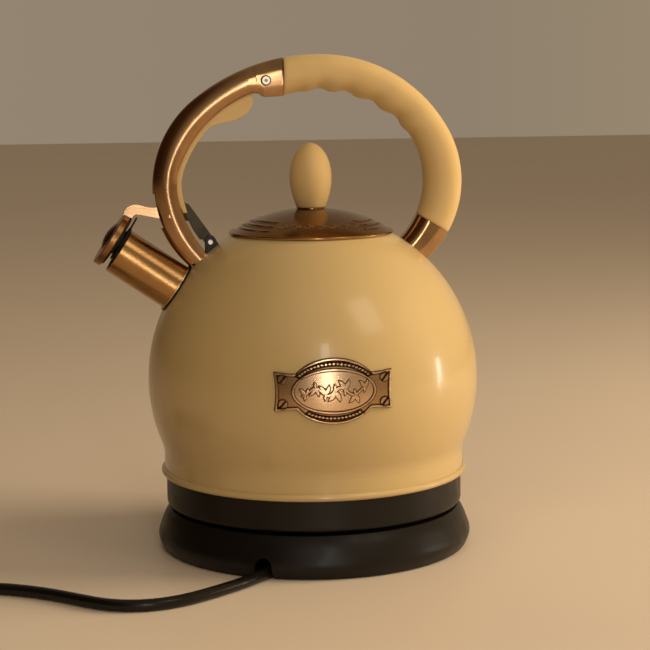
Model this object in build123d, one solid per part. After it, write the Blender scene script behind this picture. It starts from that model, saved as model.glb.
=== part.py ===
from build123d import *
import os
from math import atan2, cos, degrees, pi, radians, sin, sqrt, tan

# Cordless electric kettle with a whistle-style spout cap, millimetres.
# +Z is up, the table is z = 0, the kettle's axis is the Z axis, the spout points to -X,
# the handle stands in the XZ plane and the nameplate faces -Y.

# ---------------------------------------------------------------- driving dimensions
BODY_R = 105.0            # spherical steel body
BODY_Z = 108.0            # height of the sphere's centre
BODY_WALL = 0.8
NECK_R = 95.7             # straight lower neck of the body
NECK_BLEND_R = 20.0       # hollow curve between sphere and neck
MOUTH_R = 50.0            # filling hole under the lid
SEAM_Z = 47.7             # joint between steel body and black housing
BEAD_TOP_Z = 52.0
BEAD_R = 97.9

HOUSING_R = 94.6
HOUSING_Z = 28.0          # underside of the kettle
HOUSING_WALL = 2.4
RECESS_R = 21.0           # hole for the connector in the kettle's underside

BASE_TOP_Z = 26.0
BASE_TOP_R = 92.8
BASE_MAX_R = 100.4
BASE_SKIRT_Z = 1.0        # the skirt clears the table by this much
BASE_WALL = 2.6
HUB_R = 16.5              # connector hub in the middle of the base
HUB_TOP_Z = 36.0
RUNNING_GAP = 0.3         # between parts on different bodies
PIN_GAP = 0.08            # radial clearance of the hinge pins

SPOUT_TILT = 34.4         # above the horizontal; the spout's axis passes the sphere's centre
SPOUT_R = 15.0
SPOUT_WALL = 1.0
SPOUT_FOOT = 104.9        # from the sphere's centre to where the tube stands on its gasket
SPOUT_END = 147.5         # from the sphere's centre to the mouth

LID_R = 52.3
LID_RIM_Z = 200.9
LID_TOP_Z = 216.0
LID_SHEET = 1.0
KNOB_R = 13.2
KNOB_BASE_R = 8.9
KNOB_TOP_Z = 257.0

HANDLE_START = (-80.0, 182.7)      # outer outline of the handle at the front foot
HANDLE_HEADING = 136.3
HANDLE_TURNS = ((64.5, 44.0), (70.8, 53.7), (125.2, 42.0), (93.4, 58.0), (66.1, 76.5))
FRONT_INNER_START = (-68.2, 190.3)  # inner outline of the metal front channel
FRONT_INNER_HEADING = 129.0
FRONT_INNER_TURNS = ((78.0, 28.2), (33.6, 31.5), (78.1, 48.7))
GRIP_INNER_START = (-17.3, 286.5)   # inner outline of the grip
GRIP_INNER_HEADING = 17.5
GRIP_INNER_TURNS = ((75.1, 58.0), (52.0, 92.4))
COLLAR_STEP = ((-32.5, 288.2), (-29.2, 286.0))
HANDLE_RUN_OUT = 16.0     # straight run of the outlines into the body
GRIP_FRONT_X = -17.3      # joint between front channel and grip
GRIP_REAR = (77.9, 204.5)  # middle of the joint between grip and rear ferrule
GRIP_REAR_HEADING = -121.0
CHANNEL_WIDTH = 16.0
CHANNEL_SLOT = 12.0
CHANNEL_WALL = 1.9
GRIP_WIDTH = 24.0
FERRULE_WIDTH = 22.6
CHANNEL_CORNER = 7.6      # rounding of the channel's outer edges
SLOT_LAST_SWEEP = 19.7    # degrees of the third outer arc that the channel's hollow reaches
FOOT_BLOCK_TOP = 193.5
BLOCK_REAR_X = -68.4
CORE_R = 5.0
CORE_INSET = 11.5         # from the handle's outer outline to the core's axis
CORE_FRONT_X = -33.5
SCREW_AT = (-28.3, 296.3)
SCREW_R = 1.8
BOLT_R = 2.5
BOLT_POINTS = ((-72.6, 183.6), (66.6, 189.2))   # x, z where the two handle bolts leave the body
BOLT_TIPS = (112.5, 117.5)          # where they end, from the sphere's centre
FINGER_GROOVES = 4
GROOVE_DEPTH = 2.0
GROOVE_R = 17.0
GROOVE_STEP = 13.4        # degrees along the grip's upper arc

CAP_PIVOT = (-89.0, 213.0)          # x, z of the cap's hinge pin, inside the channel
TRIGGER_PIVOT = (-64.5, 196.0)      # x, z of the trigger's hinge pin
TRIGGER_RATIO = 0.2                 # trigger angle / cap angle
CAP_R = 18.0
CAP_OFFSET = 3.5                    # the cap's plate stands this far above the spout's axis
CAP_PLATE = (152.6, 157.2)          # along the spout's axis, from the sphere's centre
PIN_R = 1.5
ARM_WIDTH = 7.2
ARM_TOP = (
    (-118.4, 213.6), (-115.9, 218.6), (-112.3, 220.3), (-102.3, 218.4), (-96.0, 218.4), (-88.0, 216.6),
)
ARM_UNDER = ((-88.0, 209.4), (-97.7, 211.6), (-110.8, 214.2), (-113.6, 211.8))
ARM_CLEARANCE = 8.0       # radius round the cap's pin that the trigger leaves free
EAR_Y = 4.4               # the lever's ear stands beside the arm
LEVER_WIDTH = 6.0
TRIGGER_WIDTH = 9.0
PADDLE_CURVE = (
    (-38.0, 290.4), (-36.2, 283.5), (-39.8, 276.4), (-46.5, 272.2), (-56.5, 269.9), (-69.0, 260.5),
)
PADDLE_BACK = ((-72.5, 266.0), (-56.0, 283.0))
EAR_ROOT = ((-76.0, 208.5), (-80.5, 216.5))   # where the ear joins the lever
LEVER_WEB = ((-66.5, 197.5), (-71.0, 197.5), (-74.6, 203.0), (-77.6, 209.0), (-79.6, 215.0), (-77.0, 216.0))
BRACKET_OUTLINE = (
    (-67.3, 185.0), (-67.3, 198.2), (-65.7, 199.7), (-61.8, 198.9), (-57.5, 191.5), (-57.5, 185.0),
)

PLATE_Z = 116.0           # centre of the nameplate
PLATE_LONG = 70.5
PLATE_OVAL = (53.0, 39.0)
PLATE_TAB = 23.5
PLATE_BITE_R = 40.0       # hollow ends of the tabs
PLATE_SCREWS = (30.4, 7.3)

SWITCH_PIVOT = (84.0, 40.0)         # y, z of the switch lever's pin, at the back
SWITCH_WIDTH = 22.0

NOTCH_WIDTH = 10.4        # arched opening in the base's skirt for the cord
CORD_D = 7.0
CORD_REST_Z = CORD_D / 2 + 0.1
COIL_CENTRE = (-249.0, -54.0)
COIL_R = 35.0
COIL_TURNS = 2.25
COIL_LAYER = 7.02         # rise of the coil in one turn
PLUG_R = 19.2


# ---------------------------------------------------------------- helpers
def lathe(*profile):
    """A solid of revolution about Z from a closed outline of (radius, z) points."""
    outline = Polyline(*profile, close=True)
    return revolve(Plane.XZ * make_face(outline), Axis.Z)


def tube_z(outer, inner, low, high):
    """An upright ring."""
    return lathe((inner, low), (outer, low), (outer, high), (inner, high))


def post(radius, low, high, at=(0.0, 0.0)):
    """An upright round bar."""
    middle = Location((at[0], at[1], (low + high) / 2))
    return middle * Cylinder(radius, high - low)


def rod_y(radius, length, at, middle_y=0.0):
    """A round bar along Y through the point (x, z)."""
    return Location((at[0], middle_y, at[1]), (90, 0, 0)) * Cylinder(radius, length)


def slab_y(sketch, width, middle_y=0.0):
    """A flat sketch in x and z, made width thick along Y."""
    return extrude(Plane.XZ.offset(-middle_y) * sketch, width / 2, both=True)


def arc_chain(start, heading, turns, inset=0.0):
    """Tangent arcs that turn clockwise; inset moves them all inwards by the same amount."""
    way = Vector(cos(radians(heading)), sin(radians(heading)))
    point = Vector(*start) + Vector(way.Y, -way.X) * inset
    arcs = []
    for radius, sweep_angle in turns:
        arcs.append(JernArc(point, way, radius - inset, -sweep_angle))
        point, way = arcs[-1] @ 1, arcs[-1] % 1
    return arcs


def run_out(arcs, length):
    """The points that a chain of arcs reaches when it runs straight on at each end."""
    return arcs[0] @ 0 - (arcs[0] % 0) * length, arcs[-1] @ 1 + (arcs[-1] % 1) * length


def half_plane(point, heading):
    """Everything to the left of a line through a point, as a large rectangle."""
    size = 800
    return Location((point[0], point[1]), heading) * (Location((0, size / 2)) * Rectangle(2 * size, size))


def capsule(start, end, radius):
    """A flat bar with round ends between two points."""
    a, b = Vector(*start), Vector(*end)
    bar = Location(((a.X + b.X) / 2, (a.Y + b.Y) / 2), degrees(atan2(b.Y - a.Y, b.X - a.X)))
    ends = Location((a.X, a.Y)) * Circle(radius) + Location((b.X, b.Y)) * Circle(radius)
    return bar * Rectangle((b - a).length, 2 * radius) + ends


def soften(solid, radius, turns):
    """Round the outline arcs of the given radii, on the two faces that look along Y."""
    arcs = solid.faces().filter_by(Axis.Y).edges().filter_by(GeomType.CIRCLE)
    wanted = [arc for arc in arcs if any(abs(arc.radius - turn[0]) < 0.01 for turn in turns)]
    return fillet(wanted, radius)


def round_rim(solid, radius, z, size):
    """Round the circular edge of a turned piece at the given radius and height."""
    rims = solid.edges().filter_by(GeomType.CIRCLE)
    wanted = [rim for rim in rims if abs(rim.radius - radius) < 0.01 and abs(rim.center().Z - z) < 0.01]
    return fillet(wanted, size)


def slab_x(sketch, width, middle_x=0.0):
    """A flat sketch in y and z, made width thick along X."""
    return extrude(Plane.YZ.offset(middle_x) * sketch, width / 2, both=True)


def sweep_round(edges, radius, flat_in_xz=True):
    """A round bar along joined edges, drawn in x and z or already in space."""
    path = Wire(edges)
    if flat_in_xz:
        path = Plane.XZ.location * path
    section = Plane(origin=path @ 0, z_dir=path % 0) * Circle(radius)
    return sweep(section, path=path)


def along_spout(low, high, outer, inner=0.0, offset=0.0):
    """A round piece about the spout's axis; low and high count from the sphere's centre."""
    piece = Cylinder(outer, high - low)
    if inner:
        piece -= Cylinder(inner, high - low)
    return SPOUT_FRAME * Location((offset, 0, (low + high) / 2)) * piece


# local Z runs up the spout, local X points up and away from the table
SPOUT_FRAME = Location(
    Plane(
        origin=(0, 0, BODY_Z),
        x_dir=(sin(radians(SPOUT_TILT)), 0, cos(radians(SPOUT_TILT))),
        z_dir=(-cos(radians(SPOUT_TILT)), 0, sin(radians(SPOUT_TILT))),
    )
)


def ball(radius):
    return Location((0, 0, BODY_Z)) * Sphere(radius)


def on_ball(x, z, lift=0.0):
    """A location on the body's front face, local Z along the outward normal."""
    y = -sqrt(BODY_R**2 - x**2 - (z - BODY_Z) ** 2)
    normal = Vector(x, y, z - BODY_Z).normalized()
    return Location(Plane(origin=Vector(x, y, z) + normal * lift, x_dir=(1, 0, 0), z_dir=normal))


# ---------------------------------------------------------------- steel body
def body_outline(inset):
    """Half of the body's section, from the filling hole down to the seam bead."""
    radius, blend = BODY_R - inset, NECK_BLEND_R + inset
    side = (NECK_R + NECK_BLEND_R) / (BODY_R + NECK_BLEND_R)
    drop = sqrt(1 - side**2)
    top = (MOUTH_R, BODY_Z + sqrt(radius**2 - MOUTH_R**2))
    join = (radius * side, BODY_Z - radius * drop)
    blend_x, blend_z = NECK_R + NECK_BLEND_R, BODY_Z - (BODY_R + NECK_BLEND_R) * drop
    foot = (blend_x - blend, blend_z)
    middle = atan2(drop, side) / 2
    blend_mid = (blend_x - blend * cos(middle), blend_z + blend * sin(middle))
    edges = [
        ThreePointArc(top, (radius, BODY_Z), join),
        ThreePointArc(join, blend_mid, foot),
        Line(foot, (foot[0], BEAD_TOP_Z)),
    ]
    return edges, top, (foot[0], BEAD_TOP_Z)


def build_body():
    outer, outer_top, outer_end = body_outline(0.0)
    inner, inner_top, inner_end = body_outline(BODY_WALL)
    section = make_face(outer + inner + [Line(outer_top, inner_top), Line(outer_end, inner_end)])
    shell = revolve(Plane.XZ * section, Axis.Z)
    shell -= along_spout(BODY_R - 30, BODY_R + 5, SPOUT_R - SPOUT_WALL)
    for x, z in BOLT_POINTS:
        shell -= radial_rod(x, z, BOLT_R, 90, 110)

    bead_z = (SEAM_Z + BEAD_TOP_Z) / 2
    bead_r = (BEAD_TOP_Z - SEAM_Z) / 2
    bead = revolve(Plane.XZ * (Location((BEAD_R - bead_r, bead_z)) * Circle(bead_r)), Axis.Z)
    bead += tube_z(BEAD_R - bead_r, NECK_R - BODY_WALL - 1.0, SEAM_Z, BEAD_TOP_Z)

    neck = tube_z(MOUTH_R, MOUTH_R - 1.1, 188.0, 199.4)
    return {"body_shell": shell, "body_bead_ring": bead, "neck_ring": neck}


# ---------------------------------------------------------------- spout
def build_spout():
    tube = along_spout(SPOUT_FOOT, SPOUT_END, SPOUT_R, SPOUT_R - SPOUT_WALL)
    flange = along_spout(SPOUT_FOOT, SPOUT_FOOT + 0.8, SPOUT_R + 1.0, SPOUT_R)
    gasket = along_spout(BODY_R - 3, SPOUT_FOOT, SPOUT_R + 1.5, SPOUT_R - SPOUT_WALL) - ball(BODY_R)
    sieve = Cylinder(SPOUT_R - SPOUT_WALL, 0.6) - Cylinder(1.2, 2)
    for ring, count in ((4.2, 6), (8.4, 12)):
        sieve -= [loc * Cylinder(1.2, 2) for loc in PolarLocations(ring, count)]
    sieve = SPOUT_FRAME * Location((0, 0, BODY_R + 4)) * sieve
    return {"spout_tube": tube, "spout_flange": flange, "spout_gasket": gasket, "spout_filter": sieve}


# ---------------------------------------------------------------- lid
def build_lid():
    rise = LID_TOP_Z - LID_RIM_Z
    edge = LID_R - 0.9
    dome_r = (edge**2 + rise**2) / (2 * rise)
    centre_z = LID_TOP_Z - dome_r

    def cap(radius):
        return Location((0, 0, centre_z)) * Sphere(radius)

    cover = (cap(dome_r) - cap(dome_r - LID_SHEET)) & post(edge, LID_RIM_Z - 2, LID_TOP_Z + 1)
    cover += revolve(Plane.XZ * (Location((edge, LID_RIM_Z)) * Circle(0.9)), Axis.Z)
    seat_z = LID_TOP_Z + 0.3
    cover += post(KNOB_BASE_R, seat_z - 1.2, seat_z)
    cover -= post(2.1, LID_TOP_Z - 5, seat_z + 1)

    skirt = tube_z(47.6, 46.6, 190.0, 200.4)
    pan = post(48.4, 200.4, 201.2) + post(6.0, 201.2, LID_TOP_Z - LID_SHEET - 0.3)
    pan -= post(2.1, 199.0, LID_TOP_Z)
    seal = tube_z(48.5, 47.6, 192.5, 195.5)

    profile = Spline(
        (KNOB_BASE_R, seat_z), (12.3, 226.6), (KNOB_R, 235.2), (12.6, 242.0), (10.2, 249.2), (6.2, 254.2),
        (0, KNOB_TOP_Z), tangents=((0.35, 1), (-1, 0)),
    )
    axis_side = Polyline((0, KNOB_TOP_Z), (0, seat_z), (KNOB_BASE_R, seat_z))
    knob = revolve(Plane.XZ * make_face([profile, axis_side]), Axis.Z) - post(2.0, seat_z - 1, 236.0)
    screw = post(1.95, 200.2, 235.0) + post(3.6, 198.2, 200.3)
    return {
        "lid_cover": cover,
        "lid_pan": pan,
        "lid_skirt": skirt,
        "lid_seal": seal,
        "lid_knob": knob,
        "knob_screw": screw,
    }


# ---------------------------------------------------------------- handle
def handle_ring():
    """The handle's side view between its outer and inner outlines, a flat sketch."""
    outer = arc_chain(HANDLE_START, HANDLE_HEADING, HANDLE_TURNS)
    low, high = run_out(outer, HANDLE_RUN_OUT)
    whole = make_face(outer + [Line(low, outer[0] @ 0), Line(outer[-1] @ 1, high), Line(high, low)])

    front = arc_chain(FRONT_INNER_START, FRONT_INNER_HEADING, FRONT_INNER_TURNS)
    grip = arc_chain(GRIP_INNER_START, GRIP_INNER_HEADING, GRIP_INNER_TURNS)
    start = run_out(front, 2 * HANDLE_RUN_OUT)[0]
    end = run_out(grip, 2 * HANDLE_RUN_OUT)[1]
    step = Polyline(front[-1] @ 1, *COLLAR_STEP, grip[0] @ 0)
    sides = [Line(start, front[0] @ 0), step, Line(grip[-1] @ 1, end), Line(end, start)]
    return whole - make_face(front + grip + sides)


def radial_rod(x, z, radius, low, high):
    """A round bar in the XZ plane that points at the sphere's centre."""
    way = Vector(x, 0, z - BODY_Z).normalized()
    place = Plane(origin=Vector(0, 0, BODY_Z) + way * ((low + high) / 2), x_dir=(0, 1, 0), z_dir=way)
    return Location(place) * Cylinder(radius, high - low)


def build_handle():
    ring = handle_ring()
    left_of_grip = half_plane((GRIP_FRONT_X, 0), 90)
    below_grip = half_plane(GRIP_REAR, GRIP_REAR_HEADING + 90 + 180)
    grip_part = ring - left_of_grip - below_grip
    ferrule_part = (ring & below_grip) - left_of_grip

    slot_turns = HANDLE_TURNS[:2] + ((HANDLE_TURNS[2][0], SLOT_LAST_SWEEP),)
    slot_arcs = arc_chain(HANDLE_START, HANDLE_HEADING, slot_turns, CHANNEL_WALL)
    slot_low = run_out(slot_arcs, HANDLE_RUN_OUT)[0]
    slot_end = slot_arcs[-1] @ 1
    closing = Polyline(slot_end, (slot_end.X, slot_end.Y - 24), slot_low, slot_arcs[0] @ 0)
    slot = make_face(slot_arcs + [closing])
    inner_turns = [(turn[0] - CHANNEL_WALL, 0) for turn in HANDLE_TURNS]
    hollow = soften(slab_y(slot, CHANNEL_SLOT), CHANNEL_CORNER - CHANNEL_WALL, inner_turns)

    channel = soften(slab_y(ring & left_of_grip, CHANNEL_WIDTH), CHANNEL_CORNER, HANDLE_TURNS)
    channel -= hollow
    core_arcs = arc_chain(HANDLE_START, HANDLE_HEADING, HANDLE_TURNS, CORE_INSET)
    core = sweep_round(core_arcs[2:], CORE_R)
    core -= slab_y(half_plane((CORE_FRONT_X, 0), 90), 40)
    channel -= core
    spout_clearance = along_spout(BODY_R - 5, BODY_R + 4, SPOUT_R + 1.6)
    arm_window = Location((-98.0, 0, 215.5)) * Box(14, 9.6, 22)
    channel = channel - ball(BODY_R) - spout_clearance - along_spout(BODY_R, 130, SPOUT_R + 0.2)
    screw_hole = rod_y(SCREW_R, CHANNEL_WIDTH, SCREW_AT)
    channel = channel - arm_window - screw_hole - rod_y(PIN_R, CHANNEL_WIDTH, CAP_PIVOT)
    core -= screw_hole

    grip = soften(slab_y(grip_part, GRIP_WIDTH), 9.0, HANDLE_TURNS + GRIP_INNER_TURNS)
    groove_centre = arc_chain(GRIP_INNER_START, GRIP_INNER_HEADING, GRIP_INNER_TURNS)[0].arc_center
    crown = GRIP_INNER_TURNS[0][0] + GROOVE_DEPTH / 2 - GROOVE_R
    for finger in range(FINGER_GROOVES):
        lean = radians(finger * GROOVE_STEP)
        middle = (groove_centre.X + crown * sin(lean), groove_centre.Y + crown * cos(lean))
        grip -= rod_y(GROOVE_R, 2 * GRIP_WIDTH, middle)
    grip -= core

    ferrule = soften(slab_y(ferrule_part, FERRULE_WIDTH), 8.6, HANDLE_TURNS + GRIP_INNER_TURNS)
    ferrule = ferrule - ball(BODY_R) - core
    core -= ball(BODY_R)
    rear_bolt_hole = radial_rod(*BOLT_POINTS[1], BOLT_R, 90, 118)
    core -= rear_bolt_hole
    ferrule -= rear_bolt_hole

    block = hollow & slab_y(ring - half_plane((0, FOOT_BLOCK_TOP), 0), CHANNEL_SLOT)
    block -= slab_y(half_plane((BLOCK_REAR_X, 0), -90), CHANNEL_SLOT + 1)
    block = block - ball(BODY_R) - spout_clearance - radial_rod(*BOLT_POINTS[0], BOLT_R, 90, 120)
    bolts = []
    for point, tip in zip(BOLT_POINTS, BOLT_TIPS):
        head = radial_rod(*point, 4.5, 98.4, BODY_R - BODY_WALL - 0.5)
        bolts.append(head + radial_rod(*point, BOLT_R, 100, tip))
    return {
        "handle_channel": channel,
        "grip": grip,
        "grip_core": core,
        "rear_ferrule": ferrule,
        "handle_foot_block": block,
        "handle_bolts": Compound(bolts),
        "handle_screw": handle_screw(),
    }


def handle_screw():
    """Cross-head screw with a washer on the front of the channel's collar."""
    face = -CHANNEL_WIDTH / 2
    screw = rod_y(SCREW_R, 12.0, SCREW_AT, face + 6.0)
    screw += rod_y(3.3, 0.6, SCREW_AT, face - 0.3) + rod_y(2.7, 1.6, SCREW_AT, face - 1.4)
    for turn in (45, 135):
        cross = Location((SCREW_AT[0], face - 2.0, SCREW_AT[1]), (0, turn, 0)) * Box(3.4, 1.2, 0.7)
        screw -= cross
    return screw


# ---------------------------------------------------------------- spout cap
def build_cap():
    low, high = CAP_PLATE
    disc = along_spout(low, high, CAP_R, offset=CAP_OFFSET)
    disc = fillet(disc.edges().filter_by(GeomType.CIRCLE), 0.8)

    top = Spline(*ARM_TOP)
    under = Polyline(top @ 1, *ARM_UNDER, top @ 0)
    link = link_point()
    arm = slab_y(make_face([top, under]) + Location(CAP_PIVOT) * Circle(3.5), ARM_WIDTH)
    arm -= slab_y(half_plane(CAP_PIVOT, -90), ARM_WIDTH + 1) - rod_y(3.5, ARM_WIDTH, CAP_PIVOT)
    arm += slab_y(capsule(CAP_PIVOT, link, 1.8), 3.0)
    arm = arm - rod_y(PIN_R + PIN_GAP, 20, CAP_PIVOT) - rod_y(1.0, 20, link) - disc

    dome_high, dome_base = 2.8, 10.0
    dome_r = (dome_high**2 + dome_base**2) / (2 * dome_high)
    dome = SPOUT_FRAME * Location((CAP_OFFSET + 1.5, 0, high + dome_high - dome_r)) * Sphere(dome_r)
    dome &= along_spout(high, high + 6, dome_base + 1, offset=CAP_OFFSET + 1.5)

    whistle_low = SPOUT_END + 0.6
    whistle = along_spout(whistle_low, low, 7.5, 2.0, offset=CAP_OFFSET + 1.0)
    seal = along_spout(low - 1.1, low, CAP_R - 1.2, 7.5, offset=CAP_OFFSET + 1.0)
    seal += along_spout(whistle_low, whistle_low + 1.3, 11.5, 7.5, offset=CAP_OFFSET + 1.0)
    seal += along_spout(whistle_low, low, 8.4, 7.5, offset=CAP_OFFSET + 1.0)
    lip = SPOUT_FRAME * Location((CAP_OFFSET + 14.6, 0, whistle_low + 0.9), (0, -4, 0)) * Box(10.8, 6, 0.8)
    seal += lip
    pin = rod_y(1.0, 6.9, link, 1.85)
    return {
        "cap_arm": arm,
        "cap_disc": disc,
        "cap_dome": dome,
        "whistle_body": whistle,
        "cap_seal": seal,
        "link_pin": pin,
    }


def link_point():
    """Where the cap's finger meets the trigger lever, so that the two turn in TRIGGER_RATIO."""
    share = TRIGGER_RATIO / (1 + TRIGGER_RATIO)
    return tuple(c + share * (t - c) for c, t in zip(CAP_PIVOT, TRIGGER_PIVOT))


# ---------------------------------------------------------------- trigger
def build_trigger():
    def band(shallow, deep, low_z):
        """The strip along the channel's inner outline, above low_z."""
        near = arc_chain(FRONT_INNER_START, FRONT_INNER_HEADING, FRONT_INNER_TURNS, shallow)
        far = arc_chain(FRONT_INNER_START, FRONT_INNER_HEADING, FRONT_INNER_TURNS, deep)
        ends = [Line(near[0] @ 0, far[0] @ 0), Line(near[-1] @ 1, far[-1] @ 1)]
        return make_face(near + far + ends) & half_plane((0, low_z), 0)

    link = link_point()
    lever = slab_y(capsule(TRIGGER_PIVOT, (-79.2, 217.0), 3.1), LEVER_WIDTH)
    lever += slab_y(band(-3.6, -1.6, 222.0) - half_plane((-60, 0), -90), LEVER_WIDTH)
    lever += slab_y(capsule((-79.4, 217.0), (-84.0, 223.5), 2.0), LEVER_WIDTH)
    lever += slab_y(make_face(Polyline(*LEVER_WEB, close=True)), LEVER_WIDTH)
    ear = make_face(Polyline(*EAR_ROOT, link, close=True)) + Location(link) * Circle(3.2)
    lever += slab_y(ear, 1.0, EAR_Y)
    lever += slab_y(capsule((-74.0, 209.0), (-78.0, 214.6), 1.9), EAR_Y, EAR_Y / 2)
    lever -= rod_y(2.2, 4.0, link, EAR_Y)
    lever -= rod_y(PIN_R + PIN_GAP, 20, TRIGGER_PIVOT)

    paddle = Spline(*PADDLE_CURVE)
    back = Polyline(paddle @ 1, *PADDLE_BACK, paddle @ 0)
    pad = slab_y(band(-3.0, 3.0, 214.5) + make_face([paddle, back]), TRIGGER_WIDTH) - lever
    pad -= rod_y(ARM_CLEARANCE, 20, CAP_PIVOT)

    sketch = make_face(Polyline(*BRACKET_OUTLINE, close=True))
    bracket = slab_y(sketch, 10.8) - ball(BODY_R) - (slab_y(sketch, 6.6) - ball(BODY_R + 0.7))
    bracket -= rod_y(PIN_R, 20, TRIGGER_PIVOT)
    coil = Helix(pitch=0.8, height=1.4, radius=2.6)
    wire = sweep(Plane(origin=coil @ 0, z_dir=coil % 0) * Circle(0.35), path=coil, is_frenet=True)
    spring = Location((CAP_PIVOT[0], -4.05, CAP_PIVOT[1]), (90, 0, 0)) * wire
    return {
        "trigger_lever": lever,
        "trigger_pad": pad,
        "trigger_bracket": bracket,
        "trigger_pin": rod_y(PIN_R, 13.0, TRIGGER_PIVOT),
        "cap_pin": rod_y(PIN_R, CHANNEL_WIDTH - 0.2, CAP_PIVOT),
        "return_spring": spring,
    }


# ---------------------------------------------------------------- nameplate
def build_nameplate():
    """An oval plate with screwed end tabs, bent to the body's curve."""
    def layer(sketch, low, high):
        shell = ball(BODY_R + high) - ball(BODY_R + low)
        return slab_y(Location((0, PLATE_Z)) * sketch, 60, -90) & shell

    bites = Sketch()
    for side in (-1, 1):
        bites += Location((side * (PLATE_LONG / 2 + PLATE_BITE_R - 1.2), 0)) * Circle(PLATE_BITE_R)
    tabs = Rectangle(PLATE_LONG, PLATE_TAB) - bites
    inner_tabs = Rectangle(PLATE_LONG - 2.4, PLATE_TAB - 2.4) - bites
    outline = tabs + Ellipse(PLATE_OVAL[0] / 2, PLATE_OVAL[1] / 2)
    field = inner_tabs + Ellipse(PLATE_OVAL[0] / 2 - 1.3, PLATE_OVAL[1] / 2 - 1.3)
    plate = layer(outline, 0.05, 2.0) - layer(field, 1.2, 3.0)

    screws = []
    for side_x in (-1, 1):
        for side_z in (-1, 1):
            place = on_ball(side_x * PLATE_SCREWS[0], PLATE_Z + side_z * PLATE_SCREWS[1], 1.25)
            head = Location((0, 0, 0.6)) * Cylinder(2.9, 1.2)
            slot = Location((0, 0, 1.1), (0, 0, 30 * side_x * side_z)) * Box(7, 0.8, 0.8)
            screws.append(place * (head - slot))
    return {"nameplate": plate, "nameplate_screws": Compound(screws)}


# ---------------------------------------------------------------- black housing and heater
def build_bottom():
    outer, inner, floor = HOUSING_R, HOUSING_R - HOUSING_WALL, HOUSING_Z + 2.5
    housing = lathe(
        (RECESS_R, HOUSING_Z), (outer, HOUSING_Z), (outer, SEAM_Z),
        (inner, SEAM_Z), (inner, floor), (RECESS_R, floor),
    )
    housing = round_rim(housing, outer, HOUSING_Z, 3.0)
    housing -= Location((0, outer - 2, SWITCH_PIVOT[1] - 1)) * Box(SWITCH_WIDTH + 2, 10, 10)
    lens_at = (22.0, 39.0)
    lens = rod_y(3.0, 7.0, lens_at, 89.6)
    housing -= lens

    screw_ring = PolarLocations(76.0, 3, 30)
    screws, studs = [], []
    for spot in screw_ring:
        x, y = spot.position.X, spot.position.Y
        screws.append(post(1.5, 30.2, 46.0, (x, y)) + post(3.0, 28.4, 30.3, (x, y)))
        studs.append(post(3.4, 36.0, BEAD_TOP_Z, (x, y)))
        housing -= post(3.0, HOUSING_Z - 1, 30.3, (x, y))
        housing -= post(1.5, 30, 31, (x, y))

    steam_at = (0.0, 80.0)
    plate = post(NECK_R - BODY_WALL, BEAD_TOP_Z, BEAD_TOP_Z + 1.2)
    for stud in studs:
        plate += stud
    for screw in screws:
        plate -= screw
    plate -= post(4.0, 40, 60, steam_at)
    steam = post(4.0, 44.0, 165.0, steam_at) - post(2.8, 40.0, 170.0, steam_at)
    seal = tube_z(NECK_R - BODY_WALL, NECK_R - 2.8, BEAD_TOP_Z + 1.2, BEAD_TOP_Z + 2.7)

    element = tube_z(63, 47, 50.0, BEAD_TOP_Z) + Location((0, 0, 47.4)) * Torus(55, 4.0)
    for x in (-10, 10):
        element += Location((x, -54, 44)) * Box(5, 3, 8)
    control = Location((0, 0, 47.0)) * Box(46, 34, 8) + post(10.0, 50.9, BEAD_TOP_Z)

    ceiling = HUB_TOP_Z + 2.6
    connector = post(24.0, floor, 42.9) + post(RECESS_R, HOUSING_Z, floor)
    connector -= post(RECESS_R - 0.4, HOUSING_Z - 1, ceiling)
    connector += post(2.4, 28.5, ceiling) + tube_z(10.4, 9.2, 29.5, ceiling)
    return {
        "bottom_housing": housing,
        "housing_screws": Compound(screws),
        "heating_plate": plate,
        "plate_seal": seal,
        "heating_element": element,
        "thermostat_control": control,
        "kettle_connector": connector,
        "steam_tube": steam,
        "indicator_lens": lens,
    }


def build_switch():
    y, z = SWITCH_PIVOT
    lever = slab_x(capsule((y - 6, z), (y + 18.5, z), 2.2), SWITCH_WIDTH)
    lever -= slab_x(Location((y, z)) * Circle(PIN_R + PIN_GAP), 40)
    corners = ((y - 5, 30.5), (y + 5.5, 30.5), (y + 3, z + 3.5), (y - 3, z + 3.5))
    cheek = make_face(Polyline(*corners, close=True))
    floor = Location((0, y, 31.2)) * Box(30, 10, 1.4)
    bracket = slab_x(cheek, 2.0, 13.0) + slab_x(cheek, 2.0, -13.0) + floor
    pin = slab_x(Location((y, z)) * Circle(PIN_R), 27.8)
    return {"switch_lever": lever, "switch_bracket": bracket - pin, "switch_pin": pin}


# ---------------------------------------------------------------- power base
# level route of the cord from the base to the coil, then from the coil to the plug
CORD_ROUTE = (
    (-39.6, -86.9), (-50.2, -101.6), (-63.6, -114.8), (-79.0, -128.2), (-93.0, -138.4), (-107.5, -144.0),
    (-122.3, -144.6), (-136.8, -139.6), (-150.2, -128.4), (-168.0, -112.6), (-191.0, -98.3),
    (-219.5, -89.9), (-249.0, -89.0),
)
TAIL_ROUTE = ((-284.0, -54.0), (-284.5, -38.0), (-283.6, -23.0), (-281.6, -9.0))


def cord_frame(back, z):
    """A place on the cord's line as it leaves the base, back from the exit; local Z is the heading."""
    leave, onward = Vector(*CORD_ROUTE[0]), Vector(*CORD_ROUTE[1])
    way = (onward - leave).normalized()
    spot = leave - way * back
    return Plane(origin=(spot.X, spot.Y, z), x_dir=(-way.Y, way.X, 0), z_dir=way)


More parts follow.
